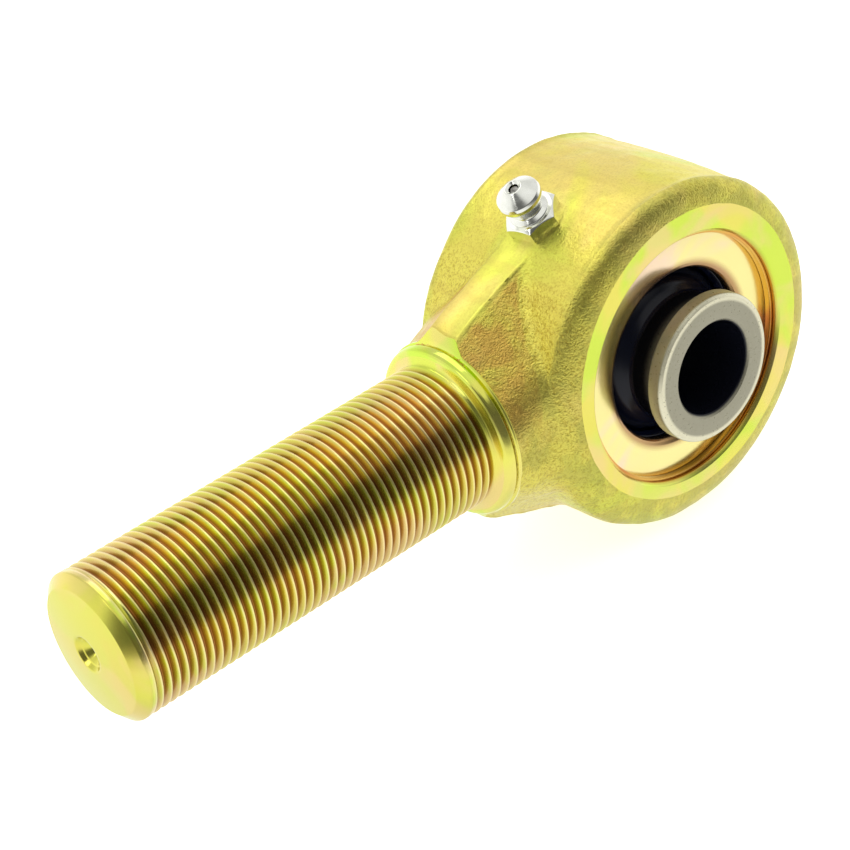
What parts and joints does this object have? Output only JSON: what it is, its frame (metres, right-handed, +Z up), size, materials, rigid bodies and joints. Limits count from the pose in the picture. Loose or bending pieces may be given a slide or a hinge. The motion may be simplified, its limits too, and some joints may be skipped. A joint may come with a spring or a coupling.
{
  "type": "rod end bearing",
  "caption": "Forged rod end with a threaded shank, and a tilting ball with a through bore that turns in polymer races held by side washers and retaining rings.",
  "frame": {"origin": "centre of the ball, on the shank's axis", "axes": "+X along the shank, from its threaded tip towards the eye; Y along the ball's bore, with the front face towards -Y; +Z up, on the side of the grease fitting"},
  "size_m": [0.1255, 0.0406, 0.0589],
  "materials": {
    "plated_forging": "yellow zinc plated forging, satin to bright",
    "ball_steel": "fine turned, warm grey, with a dark coated sphere",
    "race_polymer": "black, half gloss",
    "plated_washer": "yellow zinc plated, smooth",
    "plated_ring": "yellow zinc plated spring steel",
    "bright_nickel": "bright plated steel",
    "fitting_insides": "plain steel"
  },
  "bodies": {
    "housing": {"housing": "plated_forging", "front_washer": "plated_washer", "rear_washer": "plated_washer", "front_retaining_ring": "plated_ring", "rear_retaining_ring": "plated_ring", "grease_fitting": "bright_nickel", "grease_spring": "fitting_insides"},
    "races": {"front_bushing": "race_polymer", "rear_bushing": "race_polymer"},
    "ball": {"ball": "ball_steel"},
    "check_ball": {"grease_check_ball": "fitting_insides"}
  },
  "joints": [
    {"name": "ball_turn", "type": "hinge", "parent": "housing", "child": "races", "pos_m": [0, 0, 0], "axis": [0, 1, 0], "continuous": true},
    {"name": "ball_tilt", "type": "hinge", "parent": "races", "child": "ball", "pos_m": [0, 0, 0], "axis": [1, 0, 0], "range_deg": [-14, 14]},
    {"name": "check_ball_slide", "type": "slide", "parent": "housing", "child": "check_ball", "axis": [0.4509, 0, -0.8926], "range_m": [0, 0.0012], "stiffness_N_per_m": 120, "springref_m": -0.001, "deforming": ["grease_spring"]}
  ]
}
